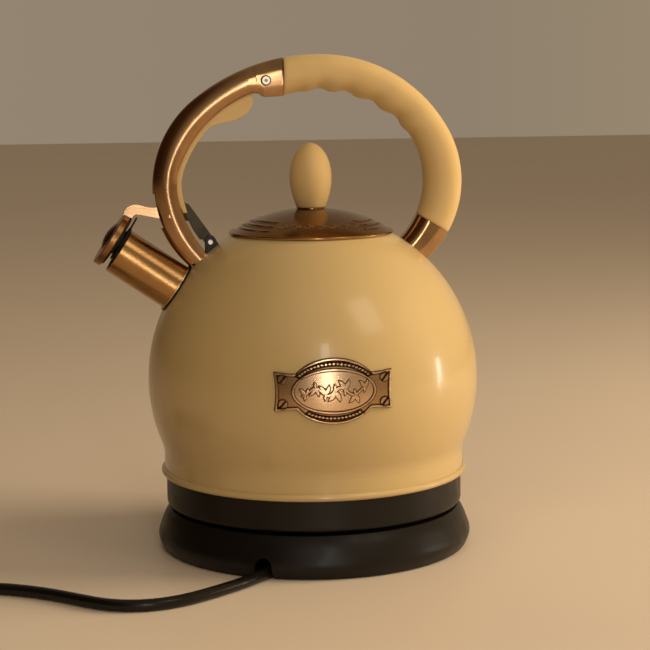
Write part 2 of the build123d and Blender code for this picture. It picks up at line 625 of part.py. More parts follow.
def build_base():
    flank = Spline(
        (BASE_TOP_R, BASE_TOP_Z), (96.2, 21.2), (98.9, 14.5),
        (BASE_MAX_R, 8.0), (99.2, 4.0), (97.6, BASE_SKIRT_Z),
    )
    inside = Polyline(
        flank @ 1, (95.0, BASE_SKIRT_Z), (97.0, 8.0), (93.0, 19.5), (90.0, BASE_TOP_Z - BASE_WALL),
        (HUB_R, BASE_TOP_Z - BASE_WALL), (HUB_R, BASE_TOP_Z), flank @ 0,
    )
    cover = revolve(Plane.XZ * make_face([flank, inside]), Axis.Z)
    cover += tube_z(74.0, 70.0, BASE_TOP_Z - 0.5, HOUSING_Z)
    plate = post(94.8, BASE_SKIRT_Z, 3.0)
    screws = []
    for spot in PolarLocations(60.0, 3, 90):
        at = (spot.position.X, spot.position.Y)
        screws.append(post(1.5, 2.6, 14.0, at) + post(3.2, 1.2, 2.7, at))
        cover += post(4.5, 3.0, BASE_TOP_Z - 1, at)
        plate = plate - post(3.2, 0, 2.7, at) - post(1.5, 0, 4, at)
        cover -= post(1.5, 2, 14.0, at)

    arch = Location((0, 3.8)) * Rectangle(NOTCH_WIDTH, 8.4) + Location((0, 8.0)) * Circle(NOTCH_WIDTH / 2)
    notch = extrude(cord_frame(26, 0) * arch, 46)
    groove = extrude(cord_frame(27, 3.5) * Rectangle(11.5, 12), 50)
    cover -= notch
    plate -= groove
    foot = tube_z(84.0, 76.0, 0.0, BASE_SKIRT_Z) - groove
    relief_place = cord_frame(25, CORD_REST_Z)
    relief = Location(relief_place) * Location((0, 0, 12.5)) * Cone(4.9, 3.7, 25)
    relief &= Location((0, 0, 50.2)) * Box(400, 400, 100)
    relief -= extrude(cord_frame(0, CORD_REST_Z) * Circle(6), 4)

    contacts = tube_z(4.2, 3.0, 12, 34) + tube_z(8.2, 7.2, 12, 34) + tube_z(13.0, 12.0, 12, 34)
    hub = post(HUB_R, 8.0, HUB_TOP_Z) + post(20.0, 21.4, BASE_TOP_Z - BASE_WALL)
    hub = hub - post(3.0, 24, 40) - tube_z(11.3, 8.3, 27.5, 40) - contacts
    guard = tube_z(20.0, HUB_R + 0.5, BASE_TOP_Z + RUNNING_GAP, 29.6)
    return {
        "base_cover": cover,
        "base_bottom_plate": plate,
        "base_foot_ring": foot,
        "base_screws": Compound(screws),
        "base_connector": hub,
        "base_contacts": contacts,
        "cord_strain_relief": relief,
        "connector_guard_ring": guard,
    }


# ---------------------------------------------------------------- mains cord
def route_radii(points):
    """The largest arc that the two runs beside each corner of a route allow."""
    spots = [Vector(*point) for point in points]
    radii = []
    for a, b, c in zip(spots, spots[1:], spots[2:]):
        turn = radians((b - a).get_angle(c - b))
        radii.append(0.45 * min((b - a).length, (c - b).length) / tan(turn / 2))
    return radii


def cord_tube(route, z):
    points = [(x, y, z) for x, y in route]
    radii = route_radii(points)
    path = FilletPolyline(*points, radius=radii)
    tube = sweep_round(path.edges(), CORD_D / 2, flat_in_xz=False)
    section = pi * CORD_D**2 / 4
    print("cord length", round(path.length, 1), "volume / section", round(tube.volume / section, 1))
    print("cord radii", [round(radius) for radius in radii])
    return tube


def build_cord():
    tube = cord_tube(CORD_ROUTE, CORD_REST_Z)
    tail_z = CORD_REST_Z + COIL_LAYER * COIL_TURNS
    tail = cord_tube(TAIL_ROUTE, tail_z)
    coil_place = Location((*COIL_CENTRE, 0))
    half = CORD_D / 2 + 0.3
    coil = coil_place * tube_z(COIL_R + half, COIL_R - half, 0.1, tail_z + CORD_D / 2 + 0.1)
    coil = coil - tube - tail
    tie_at = Location((*COIL_CENTRE, 0), (0, 0, 60)) * Location((COIL_R, 0, tail_z / 2 + 1.9))
    tie = tie_at * Box(2 * half + 1.6, 9, tail_z + 5.0) - coil
    tie &= Location((0, 0, 50.05)) * Box(800, 800, 100)

    end, before = Vector(*TAIL_ROUTE[-1]), Vector(*TAIL_ROUTE[-2])
    way = (end - before).normalized()
    place = Location(Plane(origin=(end.X, end.Y, tail_z), x_dir=(-way.Y, way.X, 0), z_dir=way))
    side = Spline((3.6, 0), (4.8, 14), (8.0, 26), (16.5, 38), (PLUG_R, 50), tangents=((0, 1), (0, 1)))
    rest = Polyline(side @ 1, (PLUG_R, 62), (PLUG_R - 1.5, 64), (0, 64), (0, 0), side @ 0)
    body = place * revolve(Plane.XZ * make_face([side, rest]), Axis.Z)
    pins = Compound([place * Location((x, 0, 70)) * Cylinder(2.4, 26) for x in (-9.5, 9.5)])
    return {
        "mains_cord": tube,
        "cord_coil": coil,
        "cord_tail": tail,
        "cord_tie": tie,
        "plug_body": body - pins,
        "plug_pins": pins,
    }


# ---------------------------------------------------------------- write the parts
def main():
    parts = {}
    for build in (
        build_body, build_spout, build_lid, build_handle, build_cap, build_trigger,
        build_nameplate, build_bottom, build_switch, build_base, build_cord,
    ):
        parts.update(build())
    os.makedirs("parts", exist_ok=True)
    for name, shape in parts.items():
        export_step(shape, f"parts/{name}.step")
    print(len(parts), "parts")


main()
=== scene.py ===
from itertools import product
from math import cos, pi, radians, sin, sqrt

import bpy
import numpy as np
from mathutils import Matrix, Vector


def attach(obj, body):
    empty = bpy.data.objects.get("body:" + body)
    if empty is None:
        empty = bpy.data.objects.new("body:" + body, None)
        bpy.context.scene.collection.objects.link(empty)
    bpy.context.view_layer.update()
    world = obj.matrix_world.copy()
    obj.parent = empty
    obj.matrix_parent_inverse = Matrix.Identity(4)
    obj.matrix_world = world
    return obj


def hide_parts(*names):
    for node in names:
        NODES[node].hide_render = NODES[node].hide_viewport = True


# Electric kettle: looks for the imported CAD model. Lengths in the tables below are millimetres in the
# row frame: +Z up, spout to -X, handle in the XZ plane, nameplate facing -Y.
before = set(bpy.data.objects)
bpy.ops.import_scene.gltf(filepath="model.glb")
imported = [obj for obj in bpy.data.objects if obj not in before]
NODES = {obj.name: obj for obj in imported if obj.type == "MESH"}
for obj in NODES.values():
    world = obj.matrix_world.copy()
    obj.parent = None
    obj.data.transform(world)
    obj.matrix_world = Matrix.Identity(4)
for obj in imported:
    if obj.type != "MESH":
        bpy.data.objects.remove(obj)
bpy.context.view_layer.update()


MM = 0.001

# ---------------------------------------------------------------- dimensions shared with the CAD model
BODY_R = 105.0
BODY_Z = 108.0
SPOUT_TILT = 34.4
LID_EDGE_R = 51.4
LID_RIM_Z = 200.9
LID_TOP_Z = 216.0
LID_SHEET = 1.0
LID_BEAD_R = 0.9
HANDLE_POLE = (0.0, 235.0)          # middle of the handle's arch, x and z
HANDLE_START = (-80.0, 182.7)
HANDLE_HEADING = 136.3
HANDLE_TURNS = ((64.5, 44.0), (70.8, 53.7), (125.2, 42.0), (93.4, 58.0), (66.1, 76.5))
GRIP_START = (-17.3, 286.5)
GRIP_HEADING = 17.5
GRIP_TURNS = ((75.1, 58.0), (52.0, 92.4))
GRIP_REAR = (77.9, 204.5)
GRIP_REAR_HEADING = -121.0
GRIP_WIDTH = 24.0
PLATE_Z = 116.0
PLATE_LONG = 70.5
PLATE_OVAL = (26.5, 19.5)
PLATE_TAB = 11.75
PLATE_BITE_R = 66.0                 # hollow of the plate's ends, shallower than the CAD plate's
PLATE_SCREWS = (30.4, 7.3)
PLATE_HEAD_R = 2.8
KNOB_BASE_R = 8.9
KNOB_R = 13.3
KNOB_WIDEST_Z = 235.2
KNOB_TOP_Z = 257.0
HANDLE_SPLIT_X = -17.3    # joint between the metal channel and the grip
CHANNEL_INNER_START = (-68.2, 190.3)
CHANNEL_INNER_HEADING = 129.0
CHANNEL_INNER_TURNS = ((78.0, 28.2), (33.6, 31.5), (78.1, 48.7))
COLLAR_STEP = ((-32.5, 288.2), (-29.2, 286.0))
CHANNEL_HALF = 8.0
ARM_WINDOW = ((-106.0, -4.8, 204.5), (-91.0, 4.8, 226.5))   # opening for the cap's arm
SCREW_AT = (-28.3, 296.3)
SCREW_HEAD_R = 2.6
CORD_D = 7.0
CORD_Z = 3.6
CORD_ROUTE = (
    (-39.6, -86.9), (-50.2, -101.6), (-63.6, -114.8), (-79.0, -128.2), (-93.0, -138.4), (-107.5, -144.0),
    (-122.3, -144.6), (-136.8, -139.6), (-150.2, -128.4), (-168.0, -112.6), (-191.0, -98.3),
    (-219.5, -89.9), (-249.0, -89.0),
)
COIL_CENTRE = (-249.0, -54.0)
COIL_R = 35.0
COIL_TURNS = 2.25
COIL_LAYER = 7.02
COIL_STEPS = 16           # control points in one turn
TAIL_ROUTE = ((-284.0, -54.0), (-284.5, -38.0), (-283.6, -23.0), (-281.6, -9.0))

# ---------------------------------------------------------------- dimensions of the surface relief
PLATE_RING = (24.4, 12.7)           # half axes of the raised ring round the plate's middle
PLATE_BAND = (25.5, 16.0)           # half axes of the middle line of the two sunken bands
PLATE_BAND_HALF = 1.45
BAND_TOP_REACH = 59                 # degrees each side of straight up that the upper band covers
BAND_LOW_REACH = 41
STEM_HALF = 19.0
STEM_WAVE = 2.3
STEM_BENDS = 2.5
LEAF_GAP = 5.9
LID_RIDGES = (35.2, 40.2, 45.2)
LID_GROOVES = (37.7, 42.7)
LID_RIDGES_FROM = (39.0, 43.0)      # degrees from the lid's front or back where the ridges rise
LID_MARK_R = 40.2
LID_MARK_STEP = 11.2                # degrees between curled leaves
GRIP_POLE = (5.28, 214.88)          # middle of the grip's inner arc
GRIP_WAVE_STEP = 13.4               # degrees from one finger groove to the next
GRIP_WAVE_DEPTH = 0.95
CHANNEL_END_Z = 309.5
COLLAR_STEPS = 64


# ---------------------------------------------------------------- camera
def add_camera():
    data = bpy.data.cameras.new("camera")
    data.lens = 105.0
    data.sensor_width = 36.0
    data.clip_end = 20.0
    camera = bpy.data.objects.new("camera", data)
    bpy.context.scene.collection.objects.link(camera)
    turn = Matrix.Rotation(radians(-7.3), 4, "Z") @ Matrix.Rotation(radians(81.97), 4, "X")
    roll = Matrix.Rotation(radians(-0.58), 4, "Z")
    camera.matrix_world = Matrix.Translation((-0.14434, -1.19132, 0.310)) @ turn @ roll
    bpy.context.scene.camera = camera


# ---------------------------------------------------------------- cord
def cord_points():
    """Control points of the cord's one spline: route, coil, tail."""
    points = [(x, y, CORD_Z) for x, y in CORD_ROUTE[:-1]]
    reach = COIL_R / cos(pi / COIL_STEPS)
    for step in range(int(COIL_TURNS * COIL_STEPS) + 1):
        turned = step / COIL_STEPS
        angle = -pi / 2 - 2 * pi * turned
        x = COIL_CENTRE[0] + reach * cos(angle)
        y = COIL_CENTRE[1] + reach * sin(angle)
        points.append((x, y, CORD_Z + COIL_LAYER * turned))
    top = CORD_Z + COIL_LAYER * COIL_TURNS
    points += [(x, y, top) for x, y in TAIL_ROUTE[1:]]
    return points


def add_cord():
    curve = bpy.data.curves.new("mains_lead", "CURVE")
    curve.dimensions = "3D"
    spline = curve.splines.new("NURBS")
    points = cord_points()
    spline.points.add(len(points) - 1)
    for slot, point in zip(spline.points, points):
        slot.co = (point[0] * MM, point[1] * MM, point[2] * MM, 1.0)
        slot.radius = CORD_D / 2 * MM
    spline.order_u = 3
    spline.use_endpoint_u = True
    spline.resolution_u = 8
    curve.bevel_depth = 1.0     # times each point's radius, which the curve's bounds count in metres
    curve.bevel_resolution = 6
    curve.use_fill_caps = True
    cord = bpy.data.objects.new("mains_lead", curve)
    bpy.context.scene.collection.objects.link(cord)
    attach(cord, "power_base")
    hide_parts("mains_cord", "cord_coil", "cord_tail")
    return cord


# ---------------------------------------------------------------- material helpers
class Look:
    """A Principled material and the nodes that vary it."""

    def __init__(self, name, colour, roughness, metallic=0.0, **sockets):
        self.material = bpy.data.materials.new(name)
        self.material.use_nodes = True
        self.nodes = self.material.node_tree.nodes
        self.links = self.material.node_tree.links
        self.shader = self.nodes["Principled BSDF"]
        self.set(self.shader, "Base Color", (*colour, 1.0))
        self.set(self.shader, "Roughness", roughness)
        self.set(self.shader, "Metallic", metallic)
        for socket, value in sockets.items():
            self.set(self.shader, socket.replace("_", " "), value)
        self.colour = colour
        self.normal = None

    def set(self, node, socket, value):
        node.inputs[socket].default_value = value

    def add(self, kind, **settings):
        node = self.nodes.new(kind)
        for key, value in settings.items():
            setattr(node, key, value)
        return node

    def place(self, stretch=(1.0, 1.0, 1.0), turn=(0.0, 0.0, 0.0), around=None):
        """Object coordinates, stretched; around = a polar wrap about the handle's middle."""
        here = self.add("ShaderNodeTexCoord").outputs["Object"]
        if around:
            here = self.polar(here, around)
        mapping = self.add("ShaderNodeMapping", vector_type="POINT")
        self.set(mapping, "Rotation", turn)
        self.set(mapping, "Scale", stretch)
        self.links.new(here, mapping.inputs["Vector"])
        return mapping.outputs["Vector"]

    def maths(self, operation, first, second=None):
        node = self.add("ShaderNodeMath", operation=operation)
        for slot, value in zip(node.inputs, (first, second)):
            if value is None:
                continue
            if isinstance(value, (int, float)):
                slot.default_value = value
            else:
                self.links.new(value, slot)
        return node.outputs[0]

    def polar(self, here, around):
        """Distance from a pole in the XZ plane, angle about it, and Y."""
        split = self.add("ShaderNodeSeparateXYZ")
        self.links.new(here, split.inputs[0])
        x = self.maths("SUBTRACT", split.outputs["X"], around[0] * MM)
        z = self.maths("SUBTRACT", split.outputs["Z"], around[1] * MM)
        squares = self.maths("ADD", self.maths("MULTIPLY", x, x), self.maths("MULTIPLY", z, z))
        join = self.add("ShaderNodeCombineXYZ")
        self.links.new(self.maths("SQRT", squares), join.inputs["X"])
        self.links.new(self.maths("ARCTAN2", x, z), join.inputs["Y"])
        self.links.new(split.outputs["Y"], join.inputs["Z"])
        return join.outputs[0]

    def noise(self, scale, detail=3.0, where=None):
        node = self.add("ShaderNodeTexNoise")
        self.set(node, "Scale", scale)
        self.set(node, "Detail", detail)
        self.links.new(where or self.place(), node.inputs["Vector"])
        return node.outputs["Fac"]

    def remap(self, value, low, high, to_low, to_high):
        node = self.add("ShaderNodeMapRange")
        self.set(node, "From Min", low)
        self.set(node, "From Max", high)
        self.set(node, "To Min", to_low)
        self.set(node, "To Max", to_high)
        self.links.new(value, node.inputs["Value"])
        return node.outputs["Result"]

    def attribute(self, name):
        return self.add("ShaderNodeAttribute", attribute_name=name).outputs["Fac"]

    def blend_colour(self, share, other):
        """Mix the present colour towards another by a share, 0 to 1."""
        node = self.add("ShaderNodeMix", data_type="RGBA")
        self.links.new(share, node.inputs["Factor"])
        if self.shader.inputs["Base Color"].links:
            self.links.new(self.shader.inputs["Base Color"].links[0].from_socket, node.inputs["A"])
        else:
            node.inputs["A"].default_value = (*self.colour, 1.0)
        node.inputs["B"].default_value = (*other, 1.0)
        self.links.new(node.outputs["Result"], self.shader.inputs["Base Color"])

    def vary_roughness(self, value):
        self.links.new(value, self.shader.inputs["Roughness"])

    def bump(self, height, strength, distance):
        node = self.add("ShaderNodeBump")
        self.set(node, "Strength", strength)
        self.set(node, "Distance", distance)
        self.links.new(height, node.inputs["Height"])
        if self.normal:
            self.links.new(self.normal, node.inputs["Normal"])
        self.normal = node.outputs["Normal"]
        self.links.new(self.normal, self.shader.inputs["Normal"])

    def soft_edges(self, radius):
        """Shade sharp edges as if they had a small rounding."""
        node = self.add("ShaderNodeBevel", samples=6)
        self.set(node, "Radius", radius)
        self.normal = node.outputs["Normal"]
        self.links.new(self.normal, self.shader.inputs["Normal"])


def enamel():
    look = Look("cream_enamel", (0.53, 0.385, 0.175), 0.24, Coat_Weight=0.3, Coat_Roughness=0.07)
    cloud = look.noise(9.0, 4.0)
    look.blend_colour(look.remap(cloud, 0.35, 0.7, 0.0, 0.35), (0.48, 0.335, 0.14))
    look.vary_roughness(look.remap(look.noise(14.0, 3.0), 0.3, 0.7, 0.22, 0.27))
    look.bump(look.noise(30.0, 1.0), 0.012, 0.0008)
    return look.material


def bronze(name, colour, dark, where, roughness=0.22, bump=0.05):
    """Brushed plating: fine lines along one direction, darker patches of age."""
    look = Look(name, colour, roughness, 1.0)
    look.soft_edges(0.0004)
    lines = look.noise(1.0, 3.0, where(look))
    look.blend_colour(look.remap(lines, 0.35, 0.65, 0.0, 0.2), dark)
    patches = look.noise(34.0, 5.0)
    look.blend_colour(look.remap(patches, 0.5, 0.75, 0.0, 0.35), dark)
    look.vary_roughness(look.remap(lines, 0.3, 0.7, roughness - 0.03, roughness + 0.06))
    look.bump(lines, bump, 0.00012)
    return look.material


def round_spout(look):
    """Lines around the spout's axis."""
    return look.place((60.0, 60.0, 2600.0), (0.0, radians(90 - SPOUT_TILT), 0.0))


def round_axis(look):
    """Lines around the kettle's own axis."""
    return look.place((50.0, 50.0, 2600.0))


def along_handle(look):
    return look.place((2600.0, 3.0, 2600.0), around=HANDLE_POLE)


def soft_touch():
    look = Look("cream_soft_touch", (0.59, 0.41, 0.17), 0.46, Sheen_Weight=0.12, Sheen_Roughness=0.5)
    look.soft_edges(0.0009)
    look.blend_colour(look.remap(look.noise(22.0, 4.0), 0.4, 0.75, 0.0, 0.3), (0.53, 0.345, 0.13))
    look.vary_roughness(look.remap(look.noise(300.0, 3.0), 0.3, 0.7, 0.44, 0.58))
    look.bump(look.noise(1500.0, 2.0), 0.10, 0.0002)
    return look.material


def black_plastic(name, roughness, grain, colour=(0.0055, 0.0043, 0.003)):
    look = Look(name, colour, roughness, Specular_IOR_Level=0.30)
    look.soft_edges(0.0005)
    look.blend_colour(look.remap(look.noise(26.0, 5.0), 0.5, 0.8, 0.0, 0.35), (0.012, 0.009, 0.0065))
    look.vary_roughness(look.remap(look.noise(90.0, 4.0), 0.3, 0.7, roughness - 0.06, roughness + 0.08))
    look.bump(look.noise(grain, 2.0), 0.12, 0.00025)
    return look.material


def plain_metal(name, colour, roughness):
    look = Look(name, colour, roughness, 1.0)
    look.soft_edges(0.0003)
    lines = look.noise(1.0, 3.0, round_axis(look))
    look.blend_colour(look.remap(lines, 0.35, 0.7, 0.0, 0.3), tuple(c * 0.7 for c in colour))
    look.vary_roughness(look.remap(look.noise(120.0, 4.0), 0.3, 0.7, roughness - 0.05, roughness + 0.08))
    look.bump(lines, 0.06, 0.0001)
    return look.material


def screw_look():
    """Chrome head in a dark washer, with painted shade in its middle standing in for a cross recess."""
    look = Look("screw_chrome", (0.60, 0.56, 0.50), 0.32, 1.0)
    away = look.add("ShaderNodeSeparateXYZ")
    look.links.new(look.polar(look.add("ShaderNodeTexCoord").outputs["Object"], SCREW_AT), away.inputs[0])
    dark = (0.03, 0.022, 0.016)
    edge = SCREW_HEAD_R * MM
    look.blend_colour(look.remap(away.outputs["X"], edge - 0.0003, edge, 0.0, 1.0), dark)
    # painted shade: the head's middle is darkened to stand for the cross recess, which the mesh does not
    # have
    look.blend_colour(look.remap(away.outputs["X"], 0.0009, 0.0012, 0.75, 0.0), dark)
    return look.material


def relief_bronze(name, bright, mid, dark, roughness, where):
    """Bronze whose hollows hold dark patina and whose raised parts are rubbed bright."""
    look = Look(name, mid, roughness, 1.0)
    lines = look.noise(1.0, 3.0, where(look))
    look.blend_colour(look.remap(lines, 0.35, 0.7, 0.0, 0.4), tuple(c * 0.72 for c in mid))
    look.blend_colour(look.attribute("polish"), bright)
    patina = look.attribute("patina")
    uneven = look.remap(look.noise(400.0, 4.0), 0.2, 0.6, 0.7, 1.0)
    look.blend_colour(look.maths("MULTIPLY", patina, uneven), dark)
    look.vary_roughness(look.remap(patina, 0.0, 1.0, roughness, 0.62))
    look.bump(lines, 0.10, 0.0001)
    return look.material


def lens_look():
    look = Look("amber_lens", (0.45, 0.10, 0.02), 0.12, Coat_Weight=0.5)
    look.blend_colour(look.remap(look.noise(300.0, 2.0), 0.4, 0.7, 0.0, 0.4), (0.30, 0.06, 0.015))
    return look.material


# ---------------------------------------------------------------- mesh helpers
def add_mesh(name, points, faces, body, slot_name, *replaced, values=None):
    """A mesh from millimetre points; values are float attributes, one number a point."""
    mesh = bpy.data.meshes.new(name)
    mesh.from_pydata([tuple(c * MM for c in p) for p in points], [], faces)
    mesh.validate()
    mesh.shade_smooth()
    mesh.set_sharp_from_angle(angle=radians(38))
    for key, numbers in (values or {}).items():
        layer = mesh.attributes.new(key, "FLOAT", "POINT")
        layer.data.foreach_set("value", np.asarray(numbers, dtype=np.float32))
    mesh.update()
    piece = bpy.data.objects.new(name, mesh)
    bpy.context.scene.collection.objects.link(piece)
    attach(piece, body)
    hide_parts(*replaced)
    return piece


def grid_faces(rows, columns):
    """Faces of a grid that closes on itself column-wise."""
    faces = []
    for row in range(rows - 1):
        for column in range(columns):
            after = (column + 1) % columns
            a, b = row * columns + column, row * columns + after
            faces.append((a, b, b + columns, a + columns))
    return faces


def step_up(value, low, high):
    """0 below low, 1 above high, smooth between."""
    share = np.clip((value - low) / (high - low), 0.0, 1.0)
    return share * share * (3 - 2 * share)


def on_circle(radius, degrees):
    """Points in a plane from their radius and angle."""
    angle = np.radians(degrees)
    return np.stack([radius * np.cos(angle), radius * np.sin(angle)], 1)


def nearest(points, path):
    """Distance from each point to the nearest point of a densely sampled path, and which one it is."""
    best = np.full(len(points), 1e9)
    index = np.zeros(len(points), dtype=int)
    for first in range(0, len(points), 4000):
        part = points[first:first + 4000]
        gaps = np.hypot(part[:, None, 0] - path[None, :, 0], part[:, None, 1] - path[None, :, 1])
        index[first:first + 4000] = gaps.argmin(axis=1)
        best[first:first + 4000] = gaps.min(axis=1)
    return best, index


# ---------------------------------------------------------------- nameplate
def plate_inside(x, v):
    oval = (x / PLATE_OVAL[0]) ** 2 + (v / PLATE_OVAL[1]) ** 2 < 1
    bite = PLATE_LONG / 2 + PLATE_BITE_R - 1.0
    flare = PLATE_TAB - 1.3 * (1 - np.clip((np.abs(x) - 20) / 15, 0, 1) ** 2)
    tab = (np.abs(x) < PLATE_LONG / 2) & (np.abs(v) < flare) & (np.hypot(np.abs(x) - bite, v) > PLATE_BITE_R)
    return oval | tab


def plate_reach(angles):
    """How far the plate's outline is from its middle, in each direction, with rounded corners."""
    near, far = np.full(len(angles), 5.0), np.full(len(angles), 40.0)
    for _ in range(30):
        middle = (near + far) / 2
        inside = plate_inside(middle * np.cos(angles), middle * np.sin(angles))
        near, far = np.where(inside, middle, near), np.where(inside, far, middle)
    smooth = 7
    window = np.hanning(smooth + 2)[1:-1]
    wrapped = np.concatenate([near[-(smooth // 2):], near, near[:smooth // 2]])
    return np.convolve(wrapped, window / window.sum(), "valid")


def leaf(x, v, lean, length, width):
    """Points down the middle of a leaf, with its half width at each."""
    t = np.linspace(0, 1, 26)
    bend = lean + 0.7 * (t - 0.3) * np.sign(np.sin(lean))
    step = length / 25
    path_x = x + np.cumsum(np.cos(bend)) * step
    path_v = v + np.cumsum(np.sin(bend)) * step
    return np.stack([path_x, path_v, width * np.sin(pi * t**0.7) ** 0.8 + 0.08], 1)


def flourish():
    """A plain vine: a waving stem with leaves on both sides, points (x, v, half width)."""
    t = np.linspace(-1, 1, 240)
    stem_x, stem_v = STEM_HALF * t, STEM_WAVE * np.sin(t * STEM_BENDS * pi)
    strokes = [np.stack([stem_x, stem_v, 0.95 - 0.45 * np.abs(t)], 1)]
    for k in range(-3, 4):
        x = LEAF_GAP * k
        v = STEM_WAVE * sin(x / STEM_HALF * STEM_BENDS * pi)
        up = 1 if k % 2 else -1
        size = 1 - 0.10 * abs(k)
        for turn in (0.95, 2.05):
            strokes.append(leaf(x, v, up * turn, 6.6 * size, 1.35 * size))
        strokes.append(leaf(x, v, -up * 1.45, 4.2 * size, 0.95 * size))
    return np.concatenate(strokes)


def band_beads():
    """Raised beads and lozenges in the two sunken bands above and below the oval."""
    marks = []
    for middle, spread, count in ((90.0, 56.0, 21), (-90.0, 38.0, 15)):
        for k in range(count):
            angle = radians(middle + spread * (2 * k / (count - 1) - 1) * 0.95)
            x, v = PLATE_BAND[0] * cos(angle), PLATE_BAND[1] * sin(angle)
            reach = 0.95 if k % 2 else 0.2
            for t in np.linspace(-1, 1, 9):
                marks.append((x + reach * t, v, 0.72 - 0.42 * abs(t) * (k % 2)))
    return np.array(marks)


def add_nameplate():
    around, rings = 1080, 120
    angles = np.linspace(0, 2 * pi, around, endpoint=False)
    reach = plate_reach(angles)
    edge = np.stack([reach * np.cos(angles), reach * np.sin(angles)], 1)
    shares = np.linspace(0.004, 1.0, rings)
    vine, beads = flourish(), band_beads()
    x = (shares[:, None] * edge[None, :, 0]).ravel()
    v = (shares[:, None] * edge[None, :, 1]).ravel()
    flat = np.stack([x, v], 1)

    from_edge, _ = nearest(flat, edge)
    to_oval = np.hypot(x / PLATE_RING[0], v / PLATE_RING[1])
    oval_gap = (to_oval - 1) * np.hypot(x, v) / np.maximum(to_oval, 0.05)
    ornament_gap, k = nearest(flat, vine)
    ornament_gap -= vine[k, 2]
    bead_gap, k = nearest(flat, beads)
    bead_gap -= beads[k, 2]
    screw_x, screw_v = np.abs(x) - PLATE_SCREWS[0], np.abs(v) - PLATE_SCREWS[1]
    screw_gap = np.hypot(screw_x, screw_v) - PLATE_HEAD_R
    lean = radians(50)
    slot = np.abs(screw_x * np.sign(x) * sin(lean) - screw_v * np.sign(v) * cos(lean))

    band_x, band_v = x / PLATE_BAND[0], v / PLATE_BAND[1]
    turn = np.degrees(np.arctan2(band_v, band_x))
    band_gap = np.abs(np.hypot(band_x, band_v) - 1) * PLATE_BAND[1] - PLATE_BAND_HALF
    top_band = np.maximum(band_gap, (np.abs(turn - 90) - BAND_TOP_REACH) * 0.3)
    low_band = np.maximum(band_gap, (np.abs(turn + 90) - BAND_LOW_REACH) * 0.3)
    sunk = 1 - step_up(np.minimum(top_band, low_band), -0.3, 0.3)

    rim = 1 - step_up(from_edge, 1.1, 1.8)
    ring = 1 - step_up(np.abs(oval_gap), 0.4, 0.95)
    scroll = 1 - step_up(ornament_gap, -0.3, 0.2)
    raised_bead = (1 - step_up(bead_gap, -0.25, 0.2)) * sunk
    head = 1 - step_up(screw_gap, -0.25, 0.1)
    cut = (1 - step_up(slot, 0.35, 0.6)) * (screw_gap < -0.15)
    height = 1.15 + 0.85 * rim + 0.75 * ring + 0.7 * scroll - 0.5 * sunk + 0.85 * raised_bead
    height += 0.30 * (oval_gap < 0) * np.clip(1 - to_oval**2, 0, 1)
    height = np.where(head > 0, np.maximum(height, 1.0) * (1 - head) + 2.25 * head, height) - 0.9 * cut
    height -= 0.8 * (1 - step_up(from_edge, 0.0, 0.5))

    def crease(gap, width):
        return np.where(gap > -0.2, 1 - step_up(gap, 0.0, width), 0.0)

    patina = np.maximum(crease(from_edge - 1.5, 1.1), crease(np.abs(oval_gap) - 0.7, 0.9))
    patina = np.maximum(patina, crease(ornament_gap, 0.8) * (1 - scroll))
    patina = np.maximum(patina, sunk * (1 - raised_bead))
    patina = np.maximum(patina, crease(screw_gap, 0.9))
    patina = np.maximum(patina, cut)
    patina = np.maximum(patina, 0.9 * (1 - step_up(from_edge, 0.0, 0.35)))
    polish = np.clip(rim * step_up(from_edge, 0.2, 0.6) + ring + scroll + raised_bead, 0, 1) * (1 - cut)
    polish = np.maximum(polish, 0.85 * (oval_gap < -0.8) * (1 - patina))
    polish = np.where(head > 0.5, 0.25 * (1 - cut), polish)

    radius = BODY_R + height
    rise = v + PLATE_Z - BODY_Z
    points = np.stack([x, -np.sqrt(radius**2 - x**2 - rise**2), v + PLATE_Z], 1)
    skirt = edge * 1.004
    low = -np.sqrt((BODY_R - 0.3) ** 2 - skirt[:, 0] ** 2 - (skirt[:, 1] + PLATE_Z - BODY_Z) ** 2)
    points = np.concatenate([points, np.stack([skirt[:, 0], low, skirt[:, 1] + PLATE_Z], 1)])
    faces = grid_faces(rings + 1, around)
    faces.append(tuple(range(around))[::-1])
    extra = np.zeros(around)
    values = {"patina": np.concatenate([patina, extra + 1]), "polish": np.concatenate([polish, extra])}
    return add_mesh(
        "nameplate_relief", points.tolist(), faces, "kettle", "light_bronze",
        "nameplate", "nameplate_screws", values=values,
    )


# ---------------------------------------------------------------- lid
def lid_marks():
    """The ornament on the lid's front and back: a row of curled leaves, (angle, radius, half width)."""
    marks = []
    for middle in (-90.0, 90.0):
        for k in range(-3, 4):
            for t in np.linspace(0, 1, 50):
                curl = 1.5 * pi * t
                size = 2.6 * (1 - 0.45 * t)
                side = -1 if k % 2 else 1
                angle = middle + LID_MARK_STEP * k + 0.95 * size * sin(curl) * 1.5
                marks.append((angle, LID_MARK_R + side * size * cos(curl), 0.35 + 0.5 * sin(pi * t)))
            for t in np.linspace(-1, 1, 12):
                angle = middle + LID_MARK_STEP * k + LID_MARK_STEP / 2
                marks.append((angle, LID_MARK_R + 2.4 * t, 0.75 * (1 - t * t) + 0.1))
    return np.array(marks)


